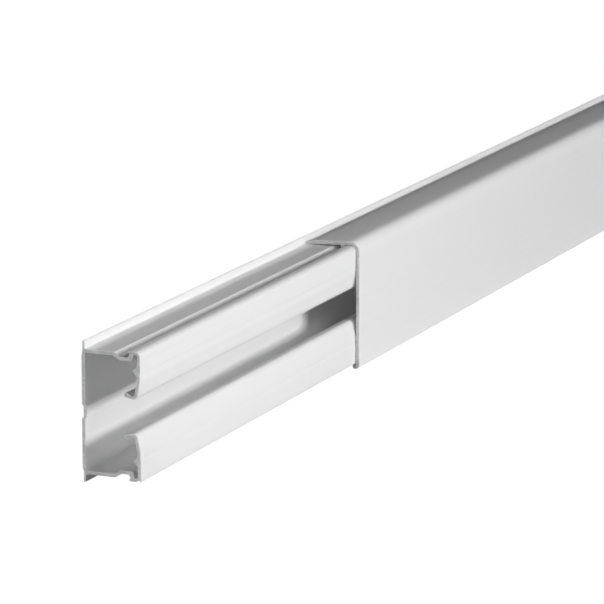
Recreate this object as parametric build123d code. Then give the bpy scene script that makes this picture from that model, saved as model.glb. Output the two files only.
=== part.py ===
from build123d import *
from math import sqrt
import os

# Cable trunking: a base strip for the wall and a cover that clips over it.
# Millimetres. X runs along the length, the front faces -Y, Z is up.
# The origin is the middle of the footprint, on the floor, with the cover drawn back.
# Sections are drawn as (depth, height, corner radius): depth is measured forward from
# the wall, height up from the bottom edge of the back plate.

# Lengths
STOCK_LENGTH = 2000.0
BASE_EXPOSED = 188.5

# Back plate of the base
PLATE_HEIGHT = 50.0
PLATE_WALL = 1.3
PLATE_EDGE_WALL = 0.85
PLATE_EDGE_BAND = 3.8
PLATE_EDGE_SLOPE = 1.3
BAND_STEP = 0.6
BAND_HEIGHT = 4.8
BAND_SLOPE = 0.4

# Overall depth of the base, and the walls of its two boxes
BASE_DEPTH = 22.3
BASE_WALL = 1.25
LIP_WALL = 1.1
GROOVE_WALL = 1.35

# Upper box: drops are measured down from the plate's top edge, insets back from the front
WEB_DROP = 2.9
WEB_END_INSET = 9.8
GROOVE_DROP = 4.4
GROOVE_START_INSET = 7.6
GROOVE_FOOT_INSET = 4.55
NOTCH_DROP = 2.75
NOTCH_INSET = 3.9
NOTCH_SLOPE = 0.1
BARB_DROP = 2.3
BARB_INSET = 4.55
LIP_DROP = 2.1
LIP_START_INSET = 3.8
LIP_CORNER = 2.2

# Front wall, its score line and the curled edge at the open slot
CREASE_DROP = 9.8
CREASE_STEP = 0.12
FLARE_START_DROP = 12.6
FLARE_DROP = 16.4
FLARE_INSET = 0.8
SLOT_HEIGHT = 12.0
CURL_INSET = 1.5
CURL_CORNER = 1.9
CURL_DIP = 0.35
CURL_WALL = 0.9
CURL_TIP_INSET = 6.3
CURL_TIP_LOW = 0.8
CURL_TIP_HIGH = 2.15
CURL_TIP_WALL = 1.2
CURL_TIP_ROUND = 0.6
CURL_ARM_INSET = 3.8
CURL_ARM_RISE = 0.3

# V rib inside each front wall
RIB_DROP = 9.0
RIB_HEIGHT = 1.6
RIB_ABOVE = 1.5
RIB_BELOW = 2.0

# Catch groove under the lower lip, for the tip of the cover's bottom hook
CATCH_DEPTH = 0.5
CATCH_GAP = 0.2
CATCH_SLOPE = 0.3
LOWER_CORNER = 0.45

# Cover
COVER_GAP = 0.2
COVER_WALL = 1.35
TOP_FALL = 0.4
FLANGE_TIP_DROP = 2.8
FLANGE_TIP_WALL = 0.4
FLANGE_BEND = 5.6
LEG_WALL = 1.3
LEG_GAP = 0.3
LEG_TAPER = 0.35
HOOK_FLOOR = 1.1
HOOK_REACH = 2.25
HOOK_TIP_WALL = 0.45
HOOK_TIP_HEIGHT = 2.35
HOOK_CORNER = 1.4
HOOK_HEEL = 0.8

# Roundings that recur
FINE = 0.15
SMALL = 0.3
MEDIUM = 0.5
SOFT = 1.0
SWEEP = 6.0

# Faces that both pieces share
COVER_INNER = BASE_DEPTH + COVER_GAP
OVERALL_DEPTH = COVER_INNER + COVER_WALL
HOOK_TIP_FRONT = OVERALL_DEPTH - HOOK_REACH
HOOK_TIP_BACK = HOOK_TIP_FRONT - HOOK_TIP_WALL
BARB_TIP = BASE_DEPTH - BARB_INSET
NOTCH = BASE_DEPTH - NOTCH_INSET


def outline(corners):
    """Closed wire across X = 0 through rounded corners given as (depth, height, radius)."""
    count = len(corners)
    points = [Vector(0, depth, height) for depth, height, _ in corners]
    sides = [points[(i + 1) % count] - points[i] for i in range(count)]
    reaches = []
    slopes = []
    for i in range(count):
        cosine = (sides[i - 1] * -1).normalized().dot(sides[i].normalized())
        cosine = max(-1.0, min(1.0, cosine))
        slope = sqrt((1 + cosine) / max(1 - cosine, 1e-9))
        slopes.append(slope)
        reaches.append(corners[i][2] * slope)
    # Where two roundings share a side that is too short for both, each gives way in proportion.
    shares = [1.0] * count
    for i in range(count):
        after = (i + 1) % count
        wanted = reaches[i] + reaches[after]
        room = 0.96 * sides[i].length
        if wanted > room:
            shares[i] = min(shares[i], room / wanted)
            shares[after] = min(shares[after], room / wanted)
    cut = []
    for i in range(count):
        corner = points[i]
        reach = reaches[i] * shares[i]
        if reach < 0.005:
            cut.append((corner, None, corner))
            continue
        back = (sides[i - 1] * -1).normalized()
        ahead = sides[i].normalized()
        radius = reach / slopes[i]
        to_centre = sqrt(radius * radius + reach * reach)
        middle = corner + (back + ahead).normalized() * (to_centre - radius)
        cut.append((corner + back * reach, middle, corner + ahead * reach))
    edges = []
    for i in range(count):
        start, middle, end = cut[i]
        if middle is not None:
            edges.append(ThreePointArc(place(start), place(middle), place(end)))
        following = cut[(i + 1) % count][0]
        if (following - end).length > 1e-6:
            edges.append(Line(place(end), place(following)))
    return Wire(edges)


def place(point):
    """Section point turned into the part's frame: depth runs towards the front, -Y."""
    return Vector(0, OVERALL_DEPTH / 2 - point.Y, point.Z)


def stock(corners, start, length):
    """Length of stock with the given section, starting at X = start."""
    section = Face(outline(corners))
    bar = Solid.extrude(section, Vector(length, 0, 0))
    left = start - (STOCK_LENGTH + BASE_EXPOSED) / 2
    return bar.moved(Location((left, 0, 0)))


def plate_rear():
    """Wall side of the plate's upper half, from the raised middle band to the top edge."""
    band = PLATE_HEIGHT / 2 + BAND_HEIGHT / 2
    edge_in = PLATE_WALL - PLATE_EDGE_WALL
    edge_round = PLATE_EDGE_WALL * 0.47
    return [
        (BAND_STEP, band - BAND_SLOPE, FINE),
        (0, band, FINE),
        (0, PLATE_HEIGHT - PLATE_EDGE_BAND - PLATE_EDGE_SLOPE, SOFT),
        (edge_in, PLATE_HEIGHT - PLATE_EDGE_BAND, SOFT),
        (edge_in, PLATE_HEIGHT, edge_round),
        (PLATE_WALL, PLATE_HEIGHT, edge_round),
    ]


def box_outside():
    """Outer side of the upper box, from the plate over the web and groove to the barb."""
    web_top = PLATE_HEIGHT - WEB_DROP
    floor_top = PLATE_HEIGHT - GROOVE_DROP
    notch = PLATE_HEIGHT - NOTCH_DROP
    return [
        (PLATE_WALL, web_top, SMALL),
        (BASE_DEPTH - WEB_END_INSET, web_top, MEDIUM),
        (BASE_DEPTH - GROOVE_START_INSET, floor_top, SMALL),
        (BASE_DEPTH - GROOVE_FOOT_INSET, floor_top, SMALL),
        (NOTCH, notch, FINE),
        (BARB_TIP, notch + NOTCH_SLOPE, FINE),
        (BARB_TIP, PLATE_HEIGHT - BARB_DROP, FINE),
        (BASE_DEPTH - LIP_START_INSET, PLATE_HEIGHT - LIP_DROP, MEDIUM),
    ]


def front_wall():
    """Front wall below the lip: score line, inward flare and the curl at the slot."""
    slot = PLATE_HEIGHT / 2 + SLOT_HEIGHT / 2
    crease = PLATE_HEIGHT - CREASE_DROP
    flare = PLATE_HEIGHT - FLARE_DROP
    scored = BASE_DEPTH - CREASE_STEP
    tip = BASE_DEPTH - CURL_TIP_INSET
    return [
        (BASE_DEPTH, crease, FINE),
        (scored, crease - CREASE_STEP, FINE),
        (scored, PLATE_HEIGHT - FLARE_START_DROP, SWEEP),
        (BASE_DEPTH - FLARE_INSET, flare, SWEEP),
        (BASE_DEPTH - CURL_INSET, slot - CURL_DIP, CURL_CORNER),
        (tip, slot + CURL_TIP_LOW, CURL_TIP_ROUND),
        (tip + SMALL, slot + CURL_TIP_HIGH, CURL_TIP_ROUND),
        (tip + CURL_TIP_WALL, slot + CURL_TIP_HIGH, CURL_TIP_ROUND),
        (BASE_DEPTH - CURL_ARM_INSET, slot + CURL_WALL + CURL_ARM_RISE, CURL_TIP_ROUND),
    ]


def box_inside():
    """Inner side of the upper box, from the curl past the rib and groove to the plate."""
    slot = PLATE_HEIGHT / 2 + SLOT_HEIGHT / 2
    band = PLATE_HEIGHT / 2 + BAND_HEIGHT / 2
    flare = PLATE_HEIGHT - FLARE_DROP
    rib = PLATE_HEIGHT - RIB_DROP
    lip_under = PLATE_HEIGHT - LIP_DROP - LIP_WALL
    floor_under = PLATE_HEIGHT - GROOVE_DROP - BASE_WALL
    web_under = PLATE_HEIGHT - WEB_DROP - BASE_WALL
    inner = BASE_DEPTH - BASE_WALL
    flare_inner = inner - FLARE_INSET
    return [
        (flare_inner - SMALL, slot + CURL_WALL, SOFT),
        (flare_inner, flare + SMALL, SWEEP / 2),
        (inner - CREASE_STEP, PLATE_HEIGHT - FLARE_START_DROP, SWEEP),
        (inner - CREASE_STEP, rib - RIB_BELOW, SMALL),
        (inner - RIB_HEIGHT, rib, SMALL),
        (inner, rib + RIB_ABOVE, SMALL),
        (inner, lip_under, LIP_CORNER - LIP_WALL),
        (NOTCH + GROOVE_WALL, lip_under, MEDIUM),
        (BASE_DEPTH - GROOVE_FOOT_INSET + GROOVE_WALL, floor_under, MEDIUM),
        (BASE_DEPTH - GROOVE_START_INSET - SMALL, floor_under, MEDIUM),
        (BASE_DEPTH - WEB_END_INSET - MEDIUM, web_under, MEDIUM),
        (PLATE_WALL, web_under, MEDIUM),
        (PLATE_WALL, band, FINE),
        (PLATE_WALL + BAND_STEP, band - BAND_SLOPE, FINE),
    ]


def box(lip):
    """All corners of the upper box with the given lip, from the plate round to the plate."""
    return box_outside() + lip + front_wall() + box_inside()


def upper_lip():
    """Plain rounded front corner of the upper lip."""
    return [(BASE_DEPTH, PLATE_HEIGHT - LIP_DROP, LIP_CORNER)]


def lower_lip():
    """Squarer corner with the catch groove, drawn as if it were on the upper lip."""
    lip_top = PLATE_HEIGHT - LIP_DROP
    catch = lip_top - CATCH_DEPTH
    return [
        (HOOK_TIP_BACK - CATCH_GAP - CATCH_SLOPE, lip_top, SMALL),
        (HOOK_TIP_BACK - CATCH_GAP, catch, FINE),
        (HOOK_TIP_FRONT + CATCH_GAP, catch, FINE),
        (HOOK_TIP_FRONT + CATCH_GAP, lip_top, SMALL),
        (BASE_DEPTH, lip_top, LOWER_CORNER),
    ]


def mirrored(corners):
    """Same corners below mid-height, in reverse order so that the outline stays closed."""
    flipped = []
    for depth, height, radius in reversed(corners):
        flipped.append((depth, PLATE_HEIGHT - height, radius))
    return flipped


def make_base():
    """Wall strip: plate, upper box and its mirror image below, with the catch groove."""
    rear = plate_rear()
    corners = rear + box(upper_lip()) + mirrored(box(lower_lip())) + mirrored(rear)
    return stock(corners, 0, STOCK_LENGTH)


def make_cover():
    """Cover: tapered flange, clip leg, rounded corner, flat front and bottom hook."""
    under = PLATE_HEIGHT - LIP_DROP + COVER_GAP
    top = under + COVER_WALL
    corner_in = LIP_CORNER + COVER_GAP
    tip_depth = PLATE_WALL + COVER_GAP
    tip = PLATE_HEIGHT - FLANGE_TIP_DROP
    leg_front = BARB_TIP - LEG_GAP
    leg_back = leg_front - LEG_WALL
    leg_barb = NOTCH - LEG_GAP
    leg_foot = PLATE_HEIGHT - GROOVE_DROP + LEG_GAP
    leg_catch = PLATE_HEIGHT - NOTCH_DROP - COVER_GAP
    corners = [
        (tip_depth, tip, FINE),
        (tip_depth, tip + FLANGE_TIP_WALL, FINE),
        (FLANGE_BEND, top - TOP_FALL, SWEEP),
        (OVERALL_DEPTH, top, corner_in + COVER_WALL),
        (OVERALL_DEPTH, 0, HOOK_CORNER),
        (HOOK_TIP_BACK, 0, HOOK_HEEL),
        (HOOK_TIP_BACK, HOOK_TIP_HEIGHT, HOOK_TIP_WALL * 0.4),
        (HOOK_TIP_FRONT, HOOK_TIP_HEIGHT, HOOK_TIP_WALL * 0.4),
        (HOOK_TIP_FRONT, HOOK_FLOOR, SMALL),
        (COVER_INNER, HOOK_FLOOR, SMALL),
        (COVER_INNER, under, corner_in),
        (leg_front, under, SMALL),
        (leg_front, leg_catch, FINE),
        (leg_barb, leg_catch, FINE),
        (leg_barb - LEG_TAPER, leg_foot, SMALL),
        (leg_back, leg_foot, SMALL),
        (leg_back, under - TOP_FALL / 2, MEDIUM),
    ]
    return stock(corners, BASE_EXPOSED, STOCK_LENGTH)


base = make_base()
cover = make_cover()

os.makedirs("parts", exist_ok=True)
export_step(base, "parts/trunking_base.step")
export_step(cover, "parts/trunking_cover.step")
print("base", base.volume, base.bounding_box())
print("cover", cover.volume, cover.bounding_box())
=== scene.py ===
import logging
import math
from dataclasses import dataclass
from enum import Enum
from typing import Any, Mapping, Sequence, Union

import bpy
from mathutils import Matrix, Vector


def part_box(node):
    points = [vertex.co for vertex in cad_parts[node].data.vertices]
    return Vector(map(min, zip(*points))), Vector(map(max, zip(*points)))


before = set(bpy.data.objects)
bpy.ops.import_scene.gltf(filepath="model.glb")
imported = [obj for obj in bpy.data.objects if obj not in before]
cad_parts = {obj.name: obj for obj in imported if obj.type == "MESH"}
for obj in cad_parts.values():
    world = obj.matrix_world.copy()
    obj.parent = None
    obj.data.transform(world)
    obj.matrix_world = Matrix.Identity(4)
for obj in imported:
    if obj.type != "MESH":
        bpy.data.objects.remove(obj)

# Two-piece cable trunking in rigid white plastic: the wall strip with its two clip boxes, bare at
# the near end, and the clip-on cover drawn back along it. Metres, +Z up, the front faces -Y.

log = logging.getLogger("trunking")
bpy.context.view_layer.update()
PHOTO_SIDE = 604
MM = 0.001
NOISE_MEAN = 0.5
BEVEL_SAMPLES = 4
EVEN_SCATTER = (1.0, 1.0, 1.0)

# Places of the colour sockets among a Mix node's inputs and outputs.
MIX_SHARE, MIX_FIRST, MIX_SECOND, MIXED = 0, 6, 7, 2

Span = tuple[float, float]
Triple = tuple[float, float, float]
Colour = tuple[float, float, float, float]
Term = Union["Value", int, float]
Paint = Union["Value", Colour]


@dataclass(frozen=True)
class Value:
    """A number that varies over a surface: one shader socket, with Python's operators on it."""

    graph: "Graph"
    socket: bpy.types.NodeSocket

    def _maths(self, operation: str, *terms: Term) -> "Value":
        """Adds one Math node, with its inputs in order, and hands back its result."""
        return self.graph.add("ShaderNodeMath", {"operation": operation}, dict(enumerate(terms)))

    def __add__(self, other: Term) -> "Value":
        """Sum of two values."""
        return self._maths("ADD", self, other)

    __radd__ = __add__

    def __sub__(self, other: Term) -> "Value":
        """This value less the other."""
        return self._maths("SUBTRACT", self, other)

    def __rsub__(self, other: Term) -> "Value":
        """The other, a plain number, less this value."""
        return self._maths("SUBTRACT", other, self)

    def __mul__(self, other: Term) -> "Value":
        """Product of two values."""
        return self._maths("MULTIPLY", self, other)

    __rmul__ = __mul__

    def __abs__(self) -> "Value":
        """Size of this value without its sign."""
        return self._maths("ABSOLUTE", self)

    def larger(self, other: Term) -> "Value":
        """The larger of two values at each point."""
        return self._maths("MAXIMUM", self, other)

    def centred(self) -> "Value":
        """This noise less its average."""
        return self - NOISE_MEAN

    def between(self, low: float, high: float) -> "Value":
        """Eased ramp that is 0 where this value is at the low bound and 1 at the high one."""
        sockets = {"Value": self, "From Min": low, "From Max": high}
        return self.graph.add("ShaderNodeMapRange", {"interpolation_type": "SMOOTHSTEP"}, sockets)

    def out(self, name: str) -> "Value":
        """Another output of the node that this value comes from."""
        return Value(self.graph, self.socket.node.outputs[name])


class Graph:
    """The node tree of one material or of the world, filled through a single method."""

    def __init__(self, tree: bpy.types.NodeTree) -> None:
        """Starts from an empty tree."""
        self.tree = tree
        tree.nodes.clear()

    def add(
        self,
        kind: str,
        settings: Mapping[str, Any] | None = None,
        inputs: Mapping[Union[str, int], Any] | None = None,
        output: Union[str, int] = 0,
    ) -> Value:
        """Adds a node.

        Args:
            kind: The node's type.
            settings: Its own settings, set before any socket.
            inputs: A value or a link for each socket that isn't left as it comes.
            output: Which output to hand back.

        Returns:
            The chosen output, or the first input of a node that has no outputs.
        """
        node = self.tree.nodes.new(kind)
        for name, setting in (settings or {}).items():
            setattr(node, name, setting)
        for name, given in (inputs or {}).items():
            socket = node.inputs[name]
            if isinstance(given, Value):
                self.tree.links.new(given.socket, socket)
            else:
                socket.default_value = given
        return Value(self, node.outputs[output] if node.outputs else node.inputs[0])

    def point(self) -> Value:
        """The surface point in the part's own frame, in metres."""
        return self.add("ShaderNodeTexCoord", output="Object")

    def facing(self) -> Value:
        """The surface's direction in the part's own frame."""
        return self.add("ShaderNodeTexCoord", output="Normal")

    def rounded(self, radius: float) -> Value:
        """The surface's direction if its edges had a radius, in metres."""
        return self.add("ShaderNodeBevel", {"samples": BEVEL_SAMPLES}, {"Radius": radius})

    def split(self, vector: Value) -> Value:
        """Takes a vector apart, into outputs X, Y and Z."""
        return self.add("ShaderNodeSeparateXYZ", inputs={0: vector})

    def blend(self, share: Value, first: Paint, second: Paint) -> Value:
        """Mixes two colours.

        Args:
            share: How much of the second colour shows, from 0 to 1.
            first: Colour at 0.
            second: Colour at 1.

        Returns:
            The mixed colour.
        """
        settings = {"data_type": "RGBA", "clamp_factor": True}
        sockets = {MIX_SHARE: share, MIX_FIRST: first, MIX_SECOND: second}
        return self.add("ShaderNodeMix", settings, sockets, MIXED)

    def surface(self, shader: Value, target: str = "ShaderNodeOutputMaterial") -> None:
        """Ends the tree in a shader, at an output node of the target type."""
        self.add(target, inputs={"Surface": shader})


def grey(level: float) -> Colour:
    """Opaque neutral colour of one linear level."""
    return (level, level, level, 1.0)


class Axis(Enum):
    """Directions of the part: along its length, from its front to the wall, and up."""

    LENGTH = "X"
    DEPTH = "Y"
    HEIGHT = "Z"


@dataclass(frozen=True)
class Noise:
    """Soft noise on a surface, with its grains per metre along each axis."""

    grains: Triple
    detail: float = 2.0
    rough: float = 0.5
    warp: float = 0.0
    shift: Triple = (0.0, 0.0, 0.0)
    seeded: Triple = (0.0, 0.0, 0.0)

    def over(self, point: Value, seed: float = 0.0) -> Value:
        """Reads the noise over a surface.

        Args:
            point: The surface point, in metres.
            seed: How far each axis marked in seeded is moved, in grains, beside the shift.

        Returns:
            The noise, about NOISE_MEAN on average.
        """
        moved = tuple(fixed + free * seed for fixed, free in zip(self.shift, self.seeded))
        scaled = point.graph.add(
            "ShaderNodeVectorMath",
            {"operation": "MULTIPLY_ADD"},
            {0: point, 1: self.grains, 2: moved},
        )
        sockets = {
            "Vector": scaled,
            "Scale": 1.0,
            "Detail": self.detail,
            "Roughness": self.rough,
            "Distortion": self.warp,
        }
        return point.graph.add("ShaderNodeTexNoise", {"noise_dimensions": "3D"}, sockets)


# Long shallow waves that the die leaves along the length, about four millimetres apart.
RIPPLES = Noise((1.1, 260.0, 260.0), detail=1.0, seeded=(1.0, 1.0, 1.0))
# Fine lines along the length, about a millimetre apart.
DIE_LINES = Noise((8.0, 900.0, 900.0), rough=0.6, shift=(0.0, 3.0, 0.0), seeded=(1.0, 0.0, 1.0))
# Slow uneven tone from the melt's cooling, about six centimetres long.
MOTTLE = Noise(
    (16.0, 60.0, 60.0),
    detail=3.0,
    rough=0.55,
    warp=0.4,
    shift=(7.0, 0.0, 3.0),
    seeded=(1.0, 0.0, 0.0),
)
# The plastic's skin, an even grain of a third of a millimetre.
GRAIN = Noise((2600.0, 3200.0, 3200.0), detail=1.0)
# Hairlines that neighbouring lengths rub into each other, and the patches that they lie in.
RUBS = Noise((22.0, 1900.0, 1900.0), detail=0.0, seeded=(0.0, 1.0, 0.0))
RUB_PATCHES = Noise((9.0, 45.0, 45.0), detail=1.0, shift=(0.0, 5.0, 0.0), seeded=(1.0, 0.0, 0.0))
# Breaks in the pale rim round a cut end, partly the saw's burr and partly a painted edge
# highlight, about a millimetre apart.
BURR_HIGHLIGHT_BREAKS = Noise((900.0, 900.0, 900.0), detail=1.0)
# Strokes of the saw over a cut end, long in the first direction and close in the second.
SAW_STROKES = Noise((220.0, 3600.0, 0.0), rough=0.6, warp=0.15)


@dataclass(frozen=True)
class Swell:
    """A wall's skin that rises over a reach from its corner, or sinks where the rise is negative.

    The corner and the reach are in metres along the axis, and the rise is in millimetres.
    """

    axis: Axis
    corner: float
    reach: float
    rise: float

    def height(self, axes: Value) -> Value:
        """Works out how far the skin has risen.

        Args:
            axes: The surface point's coordinates, taken apart.

        Returns:
            The rise in millimetres, 0 at the corner and level past the reach.
        """
        inward = (axes.out(self.axis.value) - self.corner) * (1.0 / self.reach)
        left = (1.0 - inward).larger(0.0)
        return (1.0 - left * left) * self.rise


# The skins of the strip's boxes near the plate, so that their inner corner looks soft.
PLATE_CORNER = 10.6 * MM
STRIP_SWELLS = (Swell(Axis.DEPTH, PLATE_CORNER, reach=-5.5 * MM, rise=-1.1),)
# The cover's flange and front near the rounded corner between them.
COVER_FRONT = -11.925 * MM
COVER_TOP = 49.37 * MM
COVER_SWELLS = (
    Swell(Axis.DEPTH, COVER_FRONT, reach=6.5 * MM, rise=1.7),
    Swell(Axis.HEIGHT, COVER_TOP, reach=-6.0 * MM, rise=0.45),
)


@dataclass(frozen=True)
class Shares:
    """How strongly each texture of the plastic shows in one of its looks."""

    ripples: float = 0.0
    lines: float = 0.0
    mottle: float = 0.0
    grain: float = 0.0
    rubs: float = 0.0
    saw: float = 0.0


@dataclass(frozen=True)
class ExtrudedPlastic:
    """White rigid plastic as it leaves the die: faint lines along it, and sawn ends.

    The tone runs from pale at 0 to shade at 1, and the relief's shares are in millimetres. Each
    span gives the values between which a texture or a turn comes in.
    """

    name: str
    seed: float
    swells: tuple[Swell, ...]
    pale: float = 0.96
    shade: float = 0.92
    sawn_pale: float = 0.78
    sawn_shade: float = 0.5
    # Pale rim colour round a cut end: partly the saw's burr, partly a painted edge highlight.
    burr_and_highlight: float = 0.98
    roughness: float = 0.6
    sawn_roughness: float = 0.8
    specular: float = 0.04
    edge: float = 0.2 * MM
    burr_highlight_width: float = 0.6 * MM
    glow_through: float = 1.2 * MM
    saw_angle: float = 24.0
    middle_tone: float = 0.45
    tone: Shares = Shares(ripples=0.4, lines=0.6, mottle=1.0, rubs=0.5)
    coarseness: Shares = Shares(lines=0.16, grain=0.08, rubs=0.18, saw=0.2)
    relief: Shares = Shares(ripples=0.16, lines=0.035, grain=0.004, rubs=0.003, saw=0.013)
    rub_hairs: Span = (0.66, 0.76)
    rub_patches: Span = (0.5, 0.68)
    saw_contrast: Span = (0.3, 0.7)
    sawn_facing: Span = (0.55, 0.9)
    burr_highlight_turn: Span = (0.005, 0.08)
    burr_highlight_breaks: Span = (0.2, 0.55)

    def _rubs(self, point: Value) -> Value:
        """Sparse hairline rubs along the length: 1 on them and 0 elsewhere."""
        hairs = RUBS.over(point, self.seed).between(*self.rub_hairs)
        return hairs * RUB_PATCHES.over(point, self.seed).between(*self.rub_patches)

    def _saw_marks(self, graph: Graph, axes: Value) -> Value:
        """Makes the close parallel strokes of the saw blade over a cut end.

        Args:
            graph: The material's nodes.
            axes: The surface point's coordinates, taken apart.

        Returns:
            The strokes, about NOISE_MEAN on average.
        """
        turn = math.radians(self.saw_angle)
        depth, height = axes.out(Axis.DEPTH.value), axes.out(Axis.HEIGHT.value)
        along = depth * math.cos(turn) + height * math.sin(turn)
        across = height * math.cos(turn) - depth * math.sin(turn)
        return SAW_STROKES.over(graph.add("ShaderNodeCombineXYZ", inputs={0: along, 1: across}))

    def _burr_highlight_rim(self, graph: Graph, point: Value) -> Value:
        """Finds the ragged pale rim round a cut end: partly the burr that the saw leaves, partly
        a painted edge highlight.

        Args:
            graph: The material's nodes.
            point: The surface point in the part's own frame.

        Returns:
            1 on the burr and its painted highlight, and 0 away from the edges.
        """
        flat = graph.add("ShaderNodeNewGeometry", output="Normal")
        directions = {0: graph.rounded(self.burr_highlight_width), 1: flat}
        straight = graph.add(
            "ShaderNodeVectorMath", {"operation": "DOT_PRODUCT"}, directions, "Value"
        )
        turned = (1.0 - straight).between(*self.burr_highlight_turn)
        return turned * BURR_HIGHLIGHT_BREAKS.over(point).between(*self.burr_highlight_breaks)

    def material(self) -> bpy.types.Material:
        """Builds the finish.

        Returns:
            The material.
        """
        made = bpy.data.materials.new(self.name)
        made.use_nodes = True
        graph = Graph(made.node_tree)
        point = graph.point()
        axes = graph.split(point)
        endwise = graph.split(graph.facing()).out(Axis.LENGTH.value)
        sawn = abs(endwise).between(*self.sawn_facing)
        ripples = RIPPLES.over(point, self.seed)
        lines = DIE_LINES.over(point, self.seed)
        mottle = MOTTLE.over(point, self.seed)
        grain = GRAIN.over(point)
        rubs = self._rubs(point)
        marks = self._saw_marks(graph, axes)
        tone = (
            lines.centred() * self.tone.lines
            + ripples.centred() * self.tone.ripples
            + mottle.centred() * self.tone.mottle
            + self.middle_tone
            + rubs * self.tone.rubs
        )
        skin = graph.blend(tone, grey(self.pale), grey(self.shade))
        strokes = marks.between(*self.saw_contrast)
        cut = graph.blend(strokes, grey(self.sawn_pale), grey(self.sawn_shade))
        # The pale rim on a cut end is partly the saw's burr and partly a painted edge highlight.
        sawn_skin = graph.blend(self._burr_highlight_rim(graph, point), cut, grey(self.burr_and_highlight))
        rough = (
            self.roughness
            + lines.centred() * self.coarseness.lines
            + grain.centred() * self.coarseness.grain
            + rubs * self.coarseness.rubs
        )
        sawn_rough = self.sawn_roughness + marks.centred() * self.coarseness.saw
        height = (
            ripples * self.relief.ripples
            + lines * self.relief.lines
            + grain * self.relief.grain
            - rubs * self.relief.rubs
        )
        for swell in self.swells:
            height = height + swell.height(axes)
        bumps = {
            "Strength": 1.0,
            "Distance": MM,
            "Height": height * (1.0 - sawn) + marks * self.relief.saw * sawn,
            "Normal": graph.rounded(self.edge),
        }
        looks = {
            "Base Color": graph.blend(sawn, skin, sawn_skin),
            "Roughness": rough * (1.0 - sawn) + sawn_rough * sawn,
            "Specular IOR Level": self.specular,
            "Subsurface Weight": 1.0,
            "Subsurface Radius": EVEN_SCATTER,
            "Subsurface Scale": self.glow_through,
            "Normal": graph.add("ShaderNodeBump", inputs=bumps),
        }
        graph.surface(graph.add("ShaderNodeBsdfPrincipled", inputs=looks))
        return made


@dataclass(frozen=True)
class Length:
    """One length of extruded stock: a CAD node that stays as it is, and its finish."""

    node: str
    finish: ExtrudedPlastic

    def dress(self) -> None:
        """Gives the node its finish."""
        finish = self.finish.material()
        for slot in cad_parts[self.node].material_slots:
            slot.material = finish

    def report(self) -> None:
        """Logs the piece and its size in millimetres."""
        low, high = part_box(self.node)
        size = " x ".join(f"{(b - a) / MM:.1f}" for a, b in zip(low, high))
        log.info("%s: %s mm", self.node, size)


@dataclass(frozen=True)
class Trunking:
    """The whole part: the wall strip and the cover that runs in its clips."""

    strip: Length = Length(
        "trunking_base", ExtrudedPlastic("strip_plastic", seed=2.0, swells=STRIP_SWELLS)
    )
    cover: Length = Length(
        "trunking_cover", ExtrudedPlastic("cover_plastic", seed=31.0, swells=COVER_SWELLS)
    )

    def build(self) -> None:
        """Dresses both lengths and logs them."""
        for length in (self.strip, self.cover):
            length.dress()
            length.report()


class Lamp(Enum):
    """Kinds of lamp in the studio."""

    PARALLEL = "SUN"
    SOFTBOX = "AREA"


# Places on the part that lamps point at, at half its height.
MID_HEIGHT = 0.025
MIDDLE = (0.0, 0.0, MID_HEIGHT)
BARE_END = (-1.094, 0.0, MID_HEIGHT)
COVER_START = (-0.86, 0.0, MID_HEIGHT)
FAR_HALF = (0.9, 0.0, MID_HEIGHT)
FAR_END = (1.094, 0.0, MID_HEIGHT)


@dataclass(frozen=True)
class Light:
    """One studio lamp, given by where it points and from where.

    Its azimuth is 0 in front of the part and grows to the right, both angles and the spread are
    in degrees, and its strength is in watts, or in watts per square metre if it is parallel.
    """

    name: str
    kind: Lamp
    azimuth: float
    elevation: float
    strength: float
    target: Triple = MIDDLE
    distance: float = 1.0
    width: float = 0.2
    height: float = 0.2
    spread: float = 180.0

    def place(self) -> None:
        """Puts the lamp into the scene, aimed at its target."""
        data = bpy.data.lights.new(self.name, self.kind.value)
        data.energy = self.strength
        if self.kind is Lamp.PARALLEL:
            data.angle = math.radians(self.spread)
        else:
            data.shape = "RECTANGLE"
            data.size = self.width
            data.size_y = self.height
            data.spread = math.radians(self.spread)
        turn, lift = math.radians(self.azimuth), math.radians(self.elevation)
        level = math.cos(lift)
        away = Vector((math.sin(turn) * level, -math.cos(turn) * level, math.sin(lift)))
        lamp = bpy.data.objects.new(self.name, data)
        lamp.location = Vector(self.target) + away * self.distance
        lamp.rotation_mode = "QUATERNION"
        lamp.rotation_quaternion = away.to_track_quat("Z", "Y")
        bpy.context.scene.collection.objects.link(lamp)
        log.info("lamp %s", self.name)


STUDIO_LAMPS = (
    Light(
        "key_box", Lamp.SOFTBOX, azimuth=0.0, elevation=17.0, strength=7.7,
        target=COVER_START, distance=1.1, width=0.46, height=0.23,
    ),
    Light(
        "high_box", Lamp.SOFTBOX, azimuth=0.0, elevation=40.0, strength=0.17,
        target=BARE_END, distance=0.3, width=0.15, height=0.06,
    ),
    Light(
        "top_box", Lamp.SOFTBOX, azimuth=0.0, elevation=90.0, strength=0.08,
        target=BARE_END, distance=0.5, width=0.3, height=0.3,
    ),
    Light(
        "end_fill", Lamp.SOFTBOX, azimuth=-90.0, elevation=4.0, strength=6.6,
        target=BARE_END, distance=1.2,
    ),
    Light(
        "far_box", Lamp.SOFTBOX, azimuth=0.0, elevation=9.0, strength=2.3,
        target=FAR_HALF, distance=1.2, width=2.0, height=0.25, spread=60.0,
    ),
    Light(
        "far_fill", Lamp.SOFTBOX, azimuth=90.0, elevation=4.0, strength=4.0,
        target=FAR_END, distance=1.2,
    ),
    Light(
        "rear_fill", Lamp.PARALLEL, azimuth=180.0, elevation=1.0, strength=2.2, spread=8.0,
    ),
)


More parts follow.
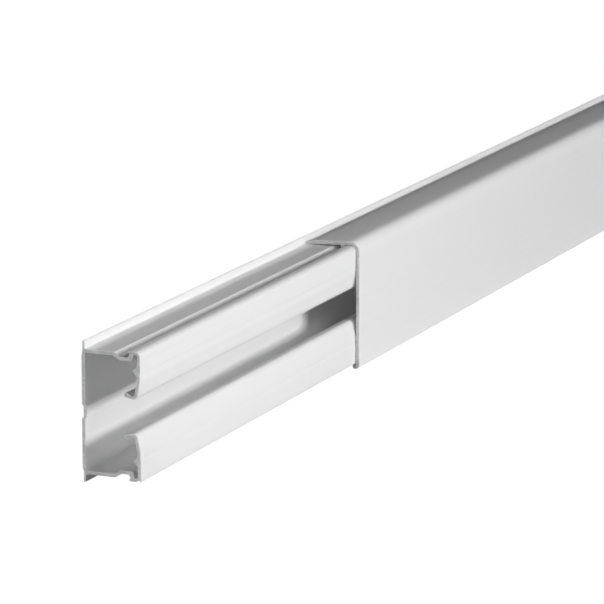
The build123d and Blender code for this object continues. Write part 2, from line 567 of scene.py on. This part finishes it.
@dataclass(frozen=True)
class Studio:
    """White floor, soft lamps and a white surround that doesn't add to the light."""

    lamps: Sequence[Light] = STUDIO_LAMPS
    ambient: float = 0.01
    floor_side: float = 60.0
    floor_bounce: float = 0.6
    floor_glow: float = 0.985
    floor_shadow: float = 0.25

    def _seen(self, graph: Graph) -> Value:
        """Tells which rays show the surround itself.

        Args:
            graph: The nodes of the floor or the world.

        Returns:
            1 for rays from the camera, in gloss or through glass, and 0 for light on the part.
        """
        path = graph.add("ShaderNodeLightPath")
        rays = path.out("Is Camera Ray").larger(path.out("Is Glossy Ray"))
        return rays.larger(path.out("Is Transmission Ray"))

    def _world(self) -> None:
        """White where it is seen, and a dim even light otherwise."""
        world = bpy.data.worlds.new("studio_air")
        bpy.context.scene.world = world
        world.use_nodes = True
        graph = Graph(world.node_tree)
        seen = self._seen(graph)
        strength = seen + (1.0 - seen) * self.ambient
        air = graph.add("ShaderNodeBackground", inputs={"Color": grey(1.0), "Strength": strength})
        graph.surface(air, "ShaderNodeOutputWorld")

    def _paper(self) -> bpy.types.Material:
        """Builds the floor's paper: white where it is seen, with the object's shadow on it.

        Returns:
            The material.
        """
        paper = bpy.data.materials.new("studio_paper")
        paper.use_nodes = True
        graph = Graph(paper.node_tree)
        white = {"Color": grey(self.floor_glow), "Strength": 1.0}
        glow = graph.add("ShaderNodeEmission", inputs=white)
        shadow = graph.add("ShaderNodeBsdfDiffuse", inputs={"Color": grey(self.floor_shadow)})
        shown = graph.add("ShaderNodeAddShader", inputs={0: glow, 1: shadow})
        bounce = graph.add("ShaderNodeBsdfDiffuse", inputs={"Color": grey(self.floor_bounce)})
        sides = {0: self._seen(graph), 1: bounce, 2: shown}
        graph.surface(graph.add("ShaderNodeMixShader", inputs=sides))
        return paper

    def _floor(self) -> None:
        """Lays the level floor that the part stands on."""
        half = self.floor_side / 2
        corners = [(-half, -half, 0.0), (half, -half, 0.0), (half, half, 0.0), (-half, half, 0.0)]
        mesh = bpy.data.meshes.new("studio_floor")
        mesh.from_pydata(corners, [], [(0, 1, 2, 3)])
        mesh.materials.append(self._paper())
        floor = bpy.data.objects.new("studio_floor", mesh)
        bpy.context.scene.collection.objects.link(floor)

    def build(self) -> None:
        """Makes the surround, the floor and the lamps."""
        self._world()
        self._floor()
        for lamp in self.lamps:
            lamp.place()


@dataclass(frozen=True)
class PhotoCamera:
    """The photograph's long lens, looking along the length from its bare end.

    Its angles are in degrees and its focal length is in pixels of the photograph. Its place is
    fixed by the plate's lower back corner at the bare end, and by where the camera sees that.
    """

    yaw: float = 66.43
    pitch: float = 12.78
    focal: float = 4193.4
    corner: Triple = (-1.09425, 0.011925, 0.0)
    corner_right: float = -0.075397
    corner_up: float = -0.061804
    corner_ahead: float = 1.441935
    sensor: float = 36.0

    def place(self) -> None:
        """Puts the camera where the fit to the photograph has it and makes it the scene's."""
        yaw, pitch = math.radians(self.yaw), math.radians(self.pitch)
        level = math.cos(pitch)
        right = Vector((math.cos(yaw), -math.sin(yaw), 0.0))
        ahead = Vector((math.sin(yaw) * level, math.cos(yaw) * level, -math.sin(pitch)))
        up = right.cross(ahead)
        offset = right * self.corner_right + up * self.corner_up + ahead * self.corner_ahead
        data = bpy.data.cameras.new("photo_camera")
        data.sensor_width = self.sensor
        data.lens = self.sensor * self.focal / PHOTO_SIDE
        camera = bpy.data.objects.new("photo_camera", data)
        turn = Matrix((right, up, -ahead)).transposed()
        camera.matrix_world = Matrix.Translation(Vector(self.corner) - offset) @ turn.to_4x4()
        bpy.context.scene.collection.objects.link(camera)
        bpy.context.scene.camera = camera
        log.info("camera at %s", tuple(round(c, 3) for c in camera.matrix_world.translation))


def main() -> None:
    """Builds the part, the studio and the camera, in that order."""
    logging.basicConfig(level=logging.INFO, format="%(name)s: %(message)s")
    Trunking().build()
    Studio().build()
    PhotoCamera().place()
    bpy.context.scene.view_settings.view_transform = "Standard"


if __name__ == "__main__":
    main()
